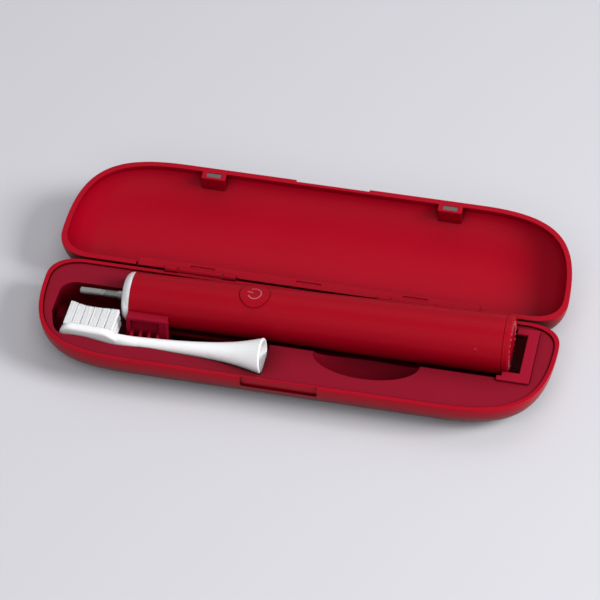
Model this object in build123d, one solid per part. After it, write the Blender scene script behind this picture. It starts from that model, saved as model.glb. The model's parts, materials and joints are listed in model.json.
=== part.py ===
from build123d import *
import os
from functools import lru_cache
from math import asin, cos, degrees, radians, sin, tan

# Toothbrush travel case with an electric toothbrush in its tray, in millimetres.
# X runs along the case, Y from the thumb notch to the hinge, Z up from the surface it stands on.
# Heights named drop or rise are measured from the plane of the base rim.

# Case outline, seen from above
case_length = 218.0
case_depth = 56.5
front_corner_length = 44.0
front_corner_depth = 44.2
front_corner_fullness = 0.7485
back_corner_length = 14.6
back_corner_fullness = 0.6395

# Base shell
base_height = 17.2
base_wall = 1.8
base_front_tuck = 19.0
base_back_tuck = 6.5
base_side_tuck = 16.0

# Lid shell
lid_height = 16.6
lid_wall = 1.6
lid_front_tuck = 36.0
lid_back_tuck = 6.0
lid_side_tuck = 16.0
seam_gap = 0.3
lid_bead_width = 0.7
lid_bead_height = 2.0

# Thumb notches in the two front walls
thumb_width = 32.0
thumb_recess = 0.9
base_thumb_drop = 5.4
lid_thumb_rise = 3.0

# Hinge
hinge_setback = 1.35
hinge_drop = 0.65
lid_open_angle = 170.0
barrel_radius = 1.7
hinge_gap = 0.3
pin_radius = 0.75
pin_clearance = 0.05
pin_length = 30.0
lug_length = 19.0
lug_spacing = 91.2
lug_root = 4.2
land_length = 146.0
land_width = 4.4
land_thickness = 3.5
land_mark_length = 10.5
land_mark_width = 1.6
land_mark_depth = 0.3
land_slit = 1.0

# Magnet catch
catch_spacing = 103.2
boss_width = 10.5
boss_reach = 4.4
boss_depth = 7.3
magnet_length = 6.4
magnet_width = 2.2
magnet_thickness = 4.0
magnet_inset = 0.2
catch_plate_length = 9.0
catch_plate_width = 3.6
catch_plate_thickness = 1.0

# Tray
tray_drop = 0.6
tray_thickness = 1.6
tray_gap = 0.3
pocket_wall = 1.2
pocket_floor = 0.8
ledge_width = 1.6
ledge_height = 1.2
channel_front = 16.5
channel_back = 13.8
channel_left = -75.0
channel_right = 95.4
head_pocket_depth = 11.5
head_pocket_gap = 0.8
head_pocket_end = 4.9
head_pocket_reach = 4.1
head_pocket_corner = 6.5
head_pocket_overlap = 6.0
scoop_centre = 32.5
scoop_length = 44.8
scoop_reach = 12.0
scoop_lift = 2.5
cradle_thickness = 1.8
rest_gap = 0.3
head_cradles = [7.1, 16.1]
head_cradle_rise = -3.5

# Frame on the tray around the tail of the handle
frame_left = 86.3
frame_right = 100.0
frame_thickness = 1.0
frame_reach_front = 18.2
frame_reach_back = 13.5
frame_front_bar = 5.1
frame_back_bar = 3.5
frame_end_step = 1.9
frame_gap = 0.5

# Saddle beside the neck of the handle
saddle_left = -69.3
saddle_length = 17.1
saddle_rise = 1.9
saddle_depth = 4.7
saddle_recess = 1.6
saddle_end_bar = 3.2
saddle_edge_bar = 1.6
saddle_lintel = 1.5
saddle_ribs = 4
saddle_rib_thickness = 1.2
saddle_rib_drop = 6.2
saddle_rib_fall = 2.0
saddle_rib_reach = 3.4
saddle_nub = 0.7

# Handle placement, its inset measured from the back of the case. Its bottom line lies level in the
# tray, so its axis rises towards the tail
handle_inset = 17.85
handle_rise = 1.0
handle_yaw = 0.4
handle_roll = 3.0

# Handle, along its own axis from the neck (negative) to the tail
ring_front = -73.2
shell_front = -69.6
shell_back = 87.2
handle_end = 90.2
neck_radius = 10.4
tail_radius = 12.7
shell_wall = 1.5
shell_front_wall = 2.4
ring_fillet = 3.0
ring_bore = 3.4
ring_spigot_radius = 7.0
ring_spigot_length = 1.6
cap_bore_radius = 11.0
cap_bore_length = 7.5
cap_running_gap = 0.1

# Drive shaft
shaft_radius = 1.45
shaft_tip = -92.5
shaft_collar_radius = 1.8
shaft_collar_length = 3.0
shaft_flat_length = 9.0
shaft_flat_depth = 0.55
shaft_notch_width = 1.2
shaft_notch_depth = 0.35
shaft_slot_width = 0.9
shaft_slot_depth = 0.5
running_gap = 0.05

# Motor
motor_radius = 7.8
motor_front = -63.0
motor_length = 34.0
motor_wall = 0.8
motor_sleeve_length = 6.0
motor_sleeve_inset = 3.0
bearing_radius = 4.0
bearing_length = 2.5
rotor_radius = 5.2
rotor_length = 20.0

# Battery, the standard small cylindrical cell
cell_radius = 7.15
cell_length = 50.5
cell_front = 32.5
cell_cap_radius = 2.7
cell_cap_height = 1.0

# Chassis and circuit board
chassis_wall = 1.1
chassis_gap = 0.3
chassis_top = 1.6
chassis_rib = 1.5
shelf_width = 3.5
shelf_thickness = 3.4
bulkhead_thickness = 1.5
board_front = -26.0
board_length = 48.0
board_width = 13.0
board_thickness = 1.2
board_height = 2.4
screw_radius = 1.0
screw_head_radius = 1.8
screw_head_height = 1.0
screw_length = 5.0
screw_inset = 3.0
contact_thickness = 0.5
contact_width = 8.0
contact_height = 10.0

# Power button
button_x = -17.6
button_radius = 6.2
button_seal_radius = 6.7
button_gap = 0.12
button_thickness = 1.3
button_rise = 0.25
button_travel = 0.5
button_skin_reach = 15.0
stem_radius = 1.6
switch_side = 6.0
switch_height = 2.6
plunger_radius = 1.5
plunger_height = 1.1
plunger_gap = 0.1

# End cap
cap_spigot_wall = 2.2
cap_seal_radius = 0.7
cap_seal_place = 2.2
lug_pad_angle = 14.0
lug_pad_height = 0.45
lug_pad_length = 1.0
lug_pad_place = 5.4
lug_groove_gap = 0.15
contact_leaf_width = 4.0
contact_leaf_thickness = 0.4

# Brush head placement: centre of its open end, its inset measured from the front of the case
head_tip_room = 12.7
head_inset = 12.35
head_rise = 1.9
head_pitch = 4.4
head_yaw = 1.31

# Brush head, along its own axis from the open end towards the tip
head_length = 87.4
flare_radius = 7.7
mouth_radius = 6.4
mouth_depth = 10.0
socket_radius = 2.3
socket_bore = 1.5
socket_start = 5.0
socket_length = 19.0
plate_start = 62.0
plate_width = 11.0
plate_back = 2.6
plate_face = 1.5
plate_tilt = 5.0
plate_edge = 1.4
plate_root = 1.0
plate_root_width = 6.0
plate_taper = 7.5
neck_blend = 8.0
neck_lap = 1.0
neck_step = 0.02
neck_waist = 4.7
neck_spread = 8.1

# Bristles
bristle_columns = 6
bristle_rows = 3
bristle_start = 2.6
bristle_pitch = 3.62
bristle_row_pitch = 3.15
strands_along = 5
strands_across = 4
strand_side = 0.42
strand_pitch_along = 0.6
strand_pitch_across = 0.66
backing_thickness = 0.8
backing_margin = 0.35
backing_gap = 0.05
bristle_length = 12.5
bristle_tip_extra = 1.0
bristle_dip = 1.0

# Values worked out from the sizes above
rim = base_height
lid_rim = base_height + seam_gap
hinge_y = case_depth / 2 + hinge_setback
hinge_z = base_height - hinge_drop
tray_top = rim - tray_drop
tray_under = tray_top - tray_thickness
handle_axis_z = rim + handle_rise
handle_y = case_depth / 2 - handle_inset
head_x = head_tip_room + head_length - case_length / 2
head_y = head_inset - case_depth / 2
handle_flare = (tail_radius - neck_radius) / (handle_end - shell_front)
handle_pitch = degrees(handle_flare)
channel_floor = handle_axis_z - neck_radius + handle_flare * shell_front - rest_gap
channel_y_front = handle_y - channel_front
frame_front = handle_y - frame_reach_front
frame_back = handle_y + frame_reach_back
saddle_right = saddle_left + saddle_length
saddle_front = handle_y - neck_radius - saddle_depth
head_pocket_floor = rim - head_pocket_depth
head_pocket_back = handle_y + head_pocket_reach
big = 400.0


# Shared shapes

def block(x1, x2, y1, y2, z1, z2):
    return Pos((x1 + x2) / 2, (y1 + y2) / 2, (z1 + z2) / 2) * Box(x2 - x1, y2 - y1, z2 - z1)


def rod(radius, x1, x2, y=0.0, z=0.0):
    return Pos((x1 + x2) / 2, y, z) * Rot(0, 90, 0) * Cylinder(radius, x2 - x1)


def taper(radius1, radius2, x1, x2):
    return Pos((x1 + x2) / 2, 0, 0) * Rot(0, 90, 0) * Cone(radius1, radius2, x2 - x1)


def corner_curve(start, end, tip, fullness, z):
    reach_start = [s + (t - s) * fullness for s, t in zip(start, tip)]
    reach_end = [e + (t - e) * fullness for e, t in zip(end, tip)]
    return Bezier((*start, z), (*reach_start, z), (*reach_end, z), (*end, z))


# The case outline at one height, drawn in by an inset at the front, the back and both ends
def case_outline(front, back, side, z):
    half = case_length / 2 - side
    y_front = front - case_depth / 2
    y_back = case_depth / 2 - back
    share = (y_back - y_front) / case_depth
    y_side = y_front + front_corner_depth * share
    front_run = front_corner_length - side
    back_run = back_corner_length * share
    right = [
        corner_curve((half - back_run, y_back), (half, y_side), (half, y_back), back_corner_fullness, z),
        corner_curve((half, y_side), (half - front_run, y_front), (half, y_front),
                     front_corner_fullness, z),
    ]
    left = [
        corner_curve((front_run - half, y_front), (-half, y_side), (-half, y_front),
                     front_corner_fullness, z),
        corner_curve((-half, y_side), (back_run - half, y_back), (-half, y_back),
                     back_corner_fullness, z),
    ]
    front_edge = Line((half - front_run, y_front, z), (front_run - half, y_front, z))
    back_edge = Line((back_run - half, y_back, z), (half - back_run, y_back, z))
    return Wire([*right, front_edge, *left, back_edge])


# A closed bowl under the outline, or a dome over it, thinner all round by the skin
@lru_cache
def bowl(z_rim, height, tucks, skin, direction):
    wires = []
    for angle in (0, 15, 32, 50, 68, 82, 90):
        bulge = 1 - cos(radians(angle))
        depth = (height - skin) * sin(radians(angle))
        insets = [skin + tuck * bulge for tuck in tucks]
        wires.append(case_outline(*insets, z_rim + direction * depth))
    return Solid.make_loft(wires)


def base_bowl(skin):
    return bowl(rim, base_height, (base_front_tuck, base_back_tuck, base_side_tuck), skin, -1)


def lid_dome(skin):
    return bowl(lid_rim, lid_height, (lid_front_tuck, lid_back_tuck, lid_side_tuck), skin, 1)


def outline_slab(skin, z1, z2):
    return extrude(make_face(case_outline(skin, skin, skin, z1)), z2 - z1, dir=(0, 0, 1))


# Placement of the lid, the handle and the brush head

def opened(piece):
    return piece.rotate(Axis((0, hinge_y, hinge_z), (1, 0, 0)), -lid_open_angle)


def on_handle(piece):
    place = Pos(0, handle_y, handle_axis_z) * Rot(0, 0, handle_yaw) * Rot(0, -handle_pitch, 0)
    return place * Rot(handle_roll, 0, 0) * piece


def on_head(piece):
    place = Pos(head_x, head_y, rim + head_rise) * Rot(0, 0, -head_yaw) * Rot(0, -head_pitch, 0)
    return place * piece


def handle_radius(x):
    return neck_radius + handle_flare * (x - shell_front)


# The handle's outline grown by a gap, where it lies
def handle_envelope(gap):
    body = taper(neck_radius + gap, tail_radius + gap, shell_front, handle_end)
    front = rod(neck_radius + gap, ring_front - gap, shell_front)
    return on_handle(body + front)


# Radius of the brush head's stem at a distance from its open end
stem_places = [(0.0, 7.7), (3.7, 6.65), (9.9, 5.2), (16.1, 4.2), (26.0, 3.3), (36.0, 2.8),
               (45.0, 2.62), (54.0, 2.6)]


def stem_radius_at(distance, gap):
    for (d1, r1), (d2, r2) in zip(stem_places, stem_places[1:]):
        if d1 <= distance <= d2:
            return r1 + (r2 - r1) * (distance - d1) / (d2 - d1) + gap
    return stem_places[-1][1] + gap


def stem_solid(gap):
    scale = flare_radius / stem_places[0][1]
    points = [(-d, r * scale + gap) for d, r in stem_places]
    curve = Spline(*points)
    ends = [Line((points[-1][0], 0), points[-1]), Line(points[0], (points[0][0], 0)),
            Line((points[0][0], 0), (points[-1][0], 0))]
    return revolve(make_face([curve, *ends]), Axis.X)


# Base shell

def base_ledge():
    ring = outline_slab(base_wall / 2, tray_under - ledge_height, tray_under)
    ring -= outline_slab(base_wall + ledge_width, tray_under - ledge_height - 1, tray_under + 1)
    ring &= base_bowl(base_wall / 2)
    return ring - pocket_bodies(pocket_wall + tray_gap)


def thumb_recess_cut(dome_outer, dome_inner, z1, z2):
    shape = block(-thumb_width / 2, thumb_width / 2, -case_depth, -case_depth / 4, z1, z2)
    shape = fillet(shape.edges().filter_by(Axis.Y), min(1.2, (z2 - z1) / 3))
    return (dome_outer & shape) - dome_inner


def hinge_barrel(length, x, radius):
    return rod(radius, x - length / 2, x + length / 2, hinge_y, hinge_z)


def hinge_positions():
    return [-lug_spacing / 2, lug_spacing / 2]


def knuckle_positions():
    offset = (lug_length + knuckle_length()) / 2 + hinge_gap
    return [x + side * offset for x in hinge_positions() for side in (-1, 1)]


def knuckle_length():
    return (pin_length - lug_length) / 2


def make_base_shell():
    shell = base_bowl(0) - base_bowl(base_wall)
    shell -= outline_slab(base_wall, rim - 0.5, rim + 1)
    shell += base_ledge()
    shell -= thumb_recess_cut(base_bowl(-0.2), base_bowl(thumb_recess), rim - base_thumb_drop, rim + 2)
    for x in hinge_positions():
        lug = hinge_barrel(lug_length, x, barrel_radius)
        root = block(x - lug_length / 2, x + lug_length / 2, case_depth / 2 - base_wall / 2, hinge_y,
                     hinge_z - lug_root, hinge_z)
        shell += lug + root
        shell -= hinge_barrel(lug_length + 2, x, pin_radius + pin_clearance)
    for x in knuckle_positions():
        shell -= hinge_barrel(knuckle_length() + 2 * hinge_gap, x, barrel_radius + hinge_gap)
    return shell


# Lid shell

def catch_positions():
    return [-catch_spacing / 2, catch_spacing / 2]


def boss_front():
    return lid_wall - case_depth / 2


def make_boss(x):
    y1 = boss_front() - lid_wall / 2
    y2 = boss_front() + boss_reach
    body = block(x - boss_width / 2, x + boss_width / 2, y1, y2, lid_rim, lid_rim + boss_depth)
    body = fillet(body.edges().filter_by(Axis.Z), 0.6)
    return body & lid_dome(lid_wall / 2)


def magnet_seat(x, gap):
    y = boss_front() + boss_reach / 2
    top = lid_rim + magnet_inset
    return block(x - magnet_length / 2 - gap, x + magnet_length / 2 + gap,
                 y - magnet_width / 2 - gap, y + magnet_width / 2 + gap,
                 top - (1 if gap else 0), top + magnet_thickness)


def make_hinge_land():
    y1 = case_depth / 2 - land_width
    body = block(-land_length / 2, land_length / 2, y1, case_depth / 2, lid_rim,
                 lid_rim + land_thickness)
    body &= lid_dome(lid_wall / 2)
    for x in (-lug_spacing / 2, 0, lug_spacing / 2):
        y = y1 + land_width * 0.45
        body -= block(x - land_mark_length / 2, x + land_mark_length / 2, y - land_mark_width / 2,
                      y + land_mark_width / 2, lid_rim - 1, lid_rim + land_mark_depth)
    return body


def make_lid_shell():
    shell = lid_dome(0) - lid_dome(lid_wall)
    shell -= outline_slab(lid_wall, lid_rim - 1, lid_rim + 0.5)
    bead = outline_slab(lid_wall / 2, lid_rim, lid_rim + lid_bead_height)
    bead -= outline_slab(lid_wall + lid_bead_width, lid_rim - 1, lid_rim + lid_bead_height + 1)
    shell += bead & lid_dome(lid_wall / 2)
    shell += make_hinge_land()
    for x in catch_positions():
        shell += make_boss(x)
        shell -= magnet_seat(x, 0.05)
    for side in (-1, 1):
        x = side * (land_length / 2 + land_slit / 2)
        shell -= block(x - land_slit / 2, x + land_slit / 2, case_depth / 2 - lid_wall - lid_bead_width - 0.1,
                       case_depth / 2 + 1, lid_rim - 1, lid_rim + lid_bead_height * 0.6)
    shell -= thumb_recess_cut(lid_dome(-0.2), lid_dome(thumb_recess), lid_rim - 2,
                              lid_rim + lid_thumb_rise)
    for x in knuckle_positions():
        knuckle = hinge_barrel(knuckle_length(), x, barrel_radius)
        x1 = x - knuckle_length() / 2
        x2 = x + knuckle_length() / 2
        neck = block(x1, x2, hinge_y - barrel_radius, hinge_y, hinge_z, lid_rim + barrel_radius)
        root = block(x1, x2, case_depth / 2 - lid_wall / 2, hinge_y, lid_rim, hinge_z + lug_root)
        shell += knuckle + neck + root
        shell -= hinge_barrel(knuckle_length() + 2, x, pin_radius + pin_clearance)
    for x in hinge_positions():
        shell -= hinge_barrel(lug_length + 2 * hinge_gap, x, barrel_radius + hinge_gap)
    return opened(shell)


def make_lid_magnets():
    return opened(Compound([magnet_seat(x, 0) for x in catch_positions()]))


def make_hinge_pins():
    return Compound([hinge_barrel(pin_length, x, pin_radius) for x in hinge_positions()])


# Tray with its pockets

# Trough for the handle: a wide arc at the front and a close one at the back
def channel_body(gap):
    depth = tray_top - channel_floor
    radius = (channel_front ** 2 + depth ** 2) / (2 * depth)
    turn = degrees(asin(channel_front / radius))
    front = CenterArc((handle_y, channel_floor + radius), radius + gap, 270 - turn, turn)
    back = CenterArc((handle_y, channel_floor + channel_back), channel_back + gap, 270, 90)
    y1, z1 = (front @ 0).X, (front @ 0).Y
    y2, z2 = (back @ 1).X, (back @ 1).Y
    top = rim + channel_back
    section = make_face([front, back, Line((y2, z2), (y2, top)), Line((y2, top), (y1, top)),
                         Line((y1, top), (y1, z1))])
    place = Plane(origin=(channel_left - gap, 0, 0), x_dir=(0, 1, 0), z_dir=(1, 0, 0))
    return extrude(place * section, channel_right - channel_left + 2 * gap)


def head_axis_y(distance):
    return head_y + distance * tan(radians(head_yaw))


# Head pocket at the tray's top: its front edge follows the brush head
def head_pocket_face(gap):
    front = []
    for distance in (0, 12, 25, 38, 50):
        y = head_axis_y(distance) - stem_radius_at(distance, head_pocket_gap) - gap
        front.append((head_x - distance, y))
    for distance, room in ((0, 1.9), (11, 0.5), (22, 0.6)):
        y = head_axis_y(plate_start + distance) - plate_back - room - gap
        front.append((head_x - plate_start - distance, y))
    corner_x, corner_y = front[-1]
    left = head_x - head_length - head_pocket_end - gap
    back = head_pocket_back + gap
    turn = head_pocket_corner + gap
    inner_x = channel_left + head_pocket_overlap
    inner_y = channel_y_front + head_pocket_overlap
    right = head_x + head_pocket_gap + gap
    start = (right, front[0][1])
    return make_face([
        Line(start, front[0]),
        Spline(*front),
        Spline((corner_x, corner_y), (left + 3.6, corner_y + 2.8), (left + 0.6, corner_y + 10.8),
               (left, back - turn), tangents=((-1, 0.1), (0, 1))),
        CenterArc((left + turn, back - turn), turn, 180, -90),
        Line((left + turn, back), (inner_x, back)),
        Line((inner_x, back), (inner_x, inner_y)),
        Line((inner_x, inner_y), (right, inner_y)),
        Line((right, inner_y), start)])


def head_pocket_body(gap):
    face = Pos(0, 0, rim - head_pocket_depth - gap) * head_pocket_face(gap)
    return extrude(face, head_pocket_depth + gap + 2, dir=(0, 0, 1))


# Scoop for the fingers, a slanting dip beside the handle
def scoop_body(gap):
    level = scoop_lift + tray_drop
    radius = (scoop_reach ** 2 + level ** 2) ** 0.5
    half = scoop_length / 2 * radius / scoop_reach
    ellipse = Ellipse(half + gap, radius + gap) & Pos(0, big / 2) * Rectangle(big, big)
    return Pos(scoop_centre, channel_y_front, rim + scoop_lift) * revolve(ellipse, Axis.X)


@lru_cache
def pocket_bodies(gap):
    body = channel_body(gap) + head_pocket_body(gap) + scoop_body(gap)
    return body - block(-big, big, -big, big, rim + 1, big)


def head_envelope(gap):
    return on_head(stem_solid(gap) + neck_solid(gap))


# Rib across the head pocket that the brush head's stem lies in
def head_cradle(distance):
    x = head_x - distance
    rib = block(x - cradle_thickness / 2, x + cradle_thickness / 2, head_y - flare_radius,
                channel_y_front, head_pocket_floor - pocket_wall / 2, rim + head_cradle_rise)
    return (rib - head_envelope(rest_gap)) & base_bowl(base_wall + tray_gap + pocket_floor / 2)


def make_tray():
    outer = base_bowl(base_wall + tray_gap)
    plate = outer & block(-big, big, -big, big, tray_under, tray_top)
    walls = (pocket_bodies(pocket_wall) & outer) - block(-big, big, -big, big, tray_top, big)
    body = plate + walls
    body -= pocket_bodies(0) & base_bowl(base_wall + tray_gap + pocket_floor)
    for distance in head_cradles:
        body += head_cradle(distance)
    return body


# Steel plates under the tray that the lid's magnets pull on
def make_catch_plates():
    y = base_wall + ledge_width + tray_gap - case_depth / 2
    plates = []
    for x in catch_positions():
        plates.append(block(x - catch_plate_length / 2, x + catch_plate_length / 2, y,
                            y + catch_plate_width, tray_under - catch_plate_thickness, tray_under))
    return Compound(plates)


# Saddle that steadies the handle's neck and carries the brush head's stem
def make_neck_saddle():
    top = rim + saddle_rise
    body = block(saddle_left, saddle_right, saddle_front, channel_y_front + head_pocket_overlap - rest_gap,
                 head_pocket_floor, top)
    body -= handle_envelope(rest_gap)
    left = saddle_left + saddle_edge_bar
    right = saddle_right - saddle_end_bar
    recess_top = top - saddle_lintel
    body -= block(left, right, saddle_front - 1, saddle_front + saddle_recess,
                  head_pocket_floor - 1, recess_top)
    step = (right - left - saddle_rib_thickness) / (saddle_ribs - 1)
    for number in range(saddle_ribs):
        body += saddle_rib(left + number * step, recess_top)
    nub_y = saddle_front + saddle_recess
    body += Pos(saddle_right, nub_y, top - saddle_lintel) * Sphere(saddle_nub)
    return body


# Curved rib that runs down the saddle's face and on under the stem
def saddle_rib(x, top):
    back = saddle_front + saddle_recess
    middle = head_y + (head_x - x) * tan(radians(head_yaw))
    knee = top - saddle_rib_drop
    front = saddle_front - saddle_rib_reach
    low = knee - saddle_rib_fall
    profile = make_face([
        Line((back, head_pocket_floor), (back, knee)),
        Spline((back, knee), (saddle_front - saddle_rib_reach / 3, knee - saddle_rib_fall / 3), (front, low)),
        Line((front, low), (middle, low)),
        Line((middle, low), (middle, head_pocket_floor)),
        Line((middle, head_pocket_floor), (back, head_pocket_floor))])
    place = Plane(origin=(x, 0, 0), x_dir=(0, 1, 0), z_dir=(1, 0, 0))
    return extrude(place * profile, saddle_rib_thickness) - head_envelope(rest_gap)


# Frame on the tray around the tail of the handle and the well behind it
def make_stop_frame():
    top = tray_top + frame_thickness
    window_front = frame_front + frame_front_bar
    window_back = frame_back - frame_back_bar
    window_left = handle_end + frame_gap
    body = block(frame_left, frame_right, frame_front, frame_back, tray_top, top)
    body = fillet(body.edges().filter_by(Axis.Z), 0.8)
    body -= block(frame_left - 1, window_left, window_front, big, 0, big)
    body -= block(frame_left - 1, channel_right, window_front, window_back, 0, big)
    body -= block(frame_left - 1, frame_left + frame_end_step, frame_front + frame_front_bar / 2, big, 0, big)
    upper = body.faces().sort_by(Axis.Z)[-1].edges()
    return chamfer(upper, 0.25)


# Handle shell

def button_place(height):
    return Pos(button_x, 0, height)


def make_handle_shell():
    body = taper(neck_radius, handle_radius(shell_back), shell_front, shell_back)
    inner_front = shell_front + shell_front_wall
    body -= taper(handle_radius(inner_front) - shell_wall, handle_radius(shell_back) - shell_wall,
                  inner_front, shell_back + 0.01)
    body -= rod(cap_bore_radius, shell_back - cap_bore_length, shell_back + 1)
    body -= rod(ring_spigot_radius + 0.05, shell_front - 1, shell_front + ring_spigot_length)
    body -= rod(ring_bore, shell_front - 1, inner_front + 1)
    body -= button_place(handle_radius(button_x)) * Cylinder(button_seal_radius, 11)
    groove = lug_pad_length / 2 + lug_groove_gap
    pad_x = shell_back - lug_pad_place
    reach = cap_bore_radius - cap_running_gap + lug_pad_height + lug_groove_gap
    body -= rod(reach, pad_x - groove, pad_x + groove)
    return on_handle(body)


# Aluminium ring with a rounded nose that closes the neck
def make_neck_ring():
    body = rod(neck_radius, ring_front, shell_front)
    body = fillet(body.edges().filter_by(GeomType.CIRCLE).sort_by(Axis.X)[0], ring_fillet)
    body += rod(ring_spigot_radius, shell_front, shell_front + ring_spigot_length)
    body -= rod(ring_bore, ring_front - 1, shell_front + ring_spigot_length + 1)
    return on_handle(body)


def make_shaft_seal():
    front = ring_front + 0.5
    back = shell_front + shell_front_wall
    body = rod(ring_bore, front, back) - rod(shaft_collar_radius + running_gap, front - 1, back + 1)
    return on_handle(body)


# Steel shaft with its collar, cross slot, notch and end flat
def make_drive_shaft():
    collar_end = ring_front - shaft_collar_length
    body = rod(shaft_radius, shaft_tip, motor_front + motor_length + 1.5)
    body = chamfer(body.edges().filter_by(GeomType.CIRCLE).sort_by(Axis.X)[0], 0.3)
    body += rod(shaft_collar_radius, collar_end, motor_front - 0.3)
    flat_end = shaft_tip + shaft_flat_length
    body -= block(shaft_tip - 1, flat_end, -3, 3, shaft_radius - shaft_flat_depth, 3)
    body -= block(flat_end, flat_end + shaft_notch_width, -3, 3,
                  shaft_radius - shaft_flat_depth - shaft_notch_depth, 3)
    body -= block(flat_end + shaft_notch_width + 0.6, collar_end - 0.6, -shaft_slot_width / 2,
                  shaft_slot_width / 2, shaft_radius - shaft_slot_depth, 3)
    return on_handle(body)


def motor_middle():
    return motor_front + motor_length / 2


def make_rotor():
    x1 = motor_middle() - rotor_length / 2
    body = rod(rotor_radius, x1, x1 + rotor_length)
    body -= rod(shaft_radius, x1 - 1, x1 + rotor_length + 1)
    return on_handle(body)


def bearing_spans():
    front = motor_front + motor_wall
    back = motor_front + motor_length - motor_wall
    return [(front, front + bearing_length), (back - bearing_length, back)]


def make_motor_can():
    x2 = motor_front + motor_length
    body = rod(motor_radius, motor_front, x2)
    body -= rod(motor_radius - motor_wall, motor_front + motor_wall, x2 - motor_wall)
    for x_a, x_b in bearing_spans():
        body += rod(bearing_radius + 1.2, x_a, x_b) - rod(bearing_radius, x_a - 1, x_b + 1)
    body -= rod(shaft_radius + 0.4, motor_front - 1, x2 + 1)
    return on_handle(body)


# Rubber sleeves that hold the motor in the shell
def make_motor_sleeves():
    front = motor_front + motor_sleeve_inset
    back = motor_front + motor_length - motor_sleeve_inset - motor_sleeve_length
    sleeves = []
    for x in (front, back):
        end = x + motor_sleeve_length
        skin = shell_wall + running_gap
        sleeve = taper(handle_radius(x) - skin, handle_radius(end) - skin, x, end)
        sleeves.append(on_handle(sleeve - rod(motor_radius, x - 1, end + 1)))
    return Compound(sleeves)


def make_motor_bearings():
    rings = []
    for x_a, x_b in bearing_spans():
        ring = rod(bearing_radius, x_a, x_b) - rod(shaft_radius + running_gap, x_a - 1, x_b + 1)
        rings.append(on_handle(ring))
    return Compound(rings)


# Battery and its contacts

def make_battery():
    body = rod(cell_radius, cell_front, cell_front + cell_length - cell_cap_height)
    body = fillet(body.edges().filter_by(GeomType.CIRCLE), 0.5)
    body += rod(cell_cap_radius, cell_front - cell_cap_height, cell_front)
    return on_handle(body)


def chassis_back():
    return shell_back - cap_bore_length - 0.5


# Open carrier for the motor, the board and the battery
def make_chassis():
    x1 = motor_front + motor_length + 0.3
    inner = cell_radius + chassis_gap
    body = rod(inner + chassis_wall, x1, chassis_back())
    body -= rod(inner, x1 + bulkhead_thickness, chassis_back() + 1)
    body -= block(x1 + bulkhead_thickness, big, -big, big, chassis_top, big)
    contact_x = contact_front()
    lower_half = block(-big, big, -big, big, -big, chassis_top)
    body += rod(inner + chassis_wall / 2, contact_x - 1.5, contact_x) & lower_half
    shelf = block(board_front, board_front + board_length, -inner - 1, inner + 1,
                  board_height - shelf_thickness, board_height)
    shelf -= block(board_front - 1, big, -board_width / 2 + shelf_width, board_width / 2 - shelf_width,
                   -big, big)
    body += shelf & rod(inner + chassis_wall / 2, x1, chassis_back())
    for x in (x1, board_front + board_length, chassis_back() - chassis_rib):
        rib = taper(handle_radius(x) - shell_wall - chassis_gap,
                    handle_radius(x + chassis_rib) - shell_wall - chassis_gap, x, x + chassis_rib)
        body += (rib - rod(inner + chassis_wall / 2, x - 1, x + chassis_rib + 1)) - block(
            -big, big, -big, big, chassis_top, big)
    body -= rod(shaft_radius + 0.6, x1 - 1, x1 + bulkhead_thickness + 1)
    for x, y in screw_places():
        body -= Pos(x, y, board_height - screw_length / 2 + 1) * Cylinder(screw_radius, screw_length)
    return on_handle(body)


def contact_front():
    return cell_front - cell_cap_height - 0.3 - contact_thickness


def make_contact_plate():
    x = contact_front()
    body = block(x, x + contact_thickness, -contact_width / 2, contact_width / 2,
                 -contact_height / 2, contact_height / 2)
    body += block(board_front + board_length - 3, x + contact_thickness, -1.5, 1.5,
                  board_height + board_thickness, board_height + board_thickness + contact_thickness)
    return on_handle(body)


def screw_places():
    return [(board_front + screw_inset, -board_width / 2 + 1.8),
            (board_front + board_length - screw_inset, board_width / 2 - 1.8)]


def make_circuit_board():
    body = block(board_front, board_front + board_length, -board_width / 2, board_width / 2,
                 board_height, board_height + board_thickness)
    for x, y in screw_places():
        body -= Pos(x, y, board_height) * Cylinder(screw_radius + 0.1, 10)
    top = board_height + board_thickness
    for x, length, width, height in ((-6.0, 6.0, 5.0, 1.2), (6.0, 4.0, 3.0, 1.5), (13.0, 3.0, 6.0, 1.0)):
        body += block(x, x + length, -width / 2, width / 2, top, top + height)
    return on_handle(body)


def make_board_screws():
    screws = []
    top = board_height + board_thickness
    for x, y in screw_places():
        head = Pos(x, y, top + screw_head_height / 2) * Cylinder(screw_head_radius, screw_head_height)
        shank = Pos(x, y, top - screw_length / 2 + 0.6) * Cylinder(screw_radius, screw_length - 1.2)
        screws.append(on_handle(head + shank))
    return Compound(screws)


# Switch under the button

def switch_base():
    return board_height + board_thickness


def make_switch_body():
    z = switch_base()
    half = switch_side / 2
    body = block(button_x - half, button_x + half, -half, half, z, z + switch_height)
    body -= Pos(button_x, 0, z + switch_height) * Cylinder(plunger_radius + running_gap, 2 * plunger_height)
    return on_handle(body)


def plunger_top():
    return switch_base() + switch_height + plunger_height


def make_switch_plunger():
    z1 = switch_base() + switch_height - plunger_height + button_travel + plunger_gap
    z2 = plunger_top()
    body = Pos(button_x, 0, (z1 + z2) / 2) * Cylinder(plunger_radius, z2 - z1)
    return on_handle(body)


# Button cap that follows the round of the handle, with its stem
def handle_skin(x, rise):
    x1 = x - button_skin_reach
    x2 = x + button_skin_reach
    return taper(handle_radius(x1) + rise, handle_radius(x2) + rise, x1, x2)


def make_power_button():
    column = button_place(handle_radius(button_x)) * Cylinder(button_radius, 10)
    crown = handle_skin(button_x, button_rise)
    body = column & (crown - handle_skin(button_x, button_rise - button_thickness))
    z1 = plunger_top() + plunger_gap
    z2 = handle_radius(button_x) - button_thickness / 2
    body += Pos(button_x, 0, (z1 + z2) / 2) * Cylinder(stem_radius, z2 - z1)
    return on_handle(body)


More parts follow.
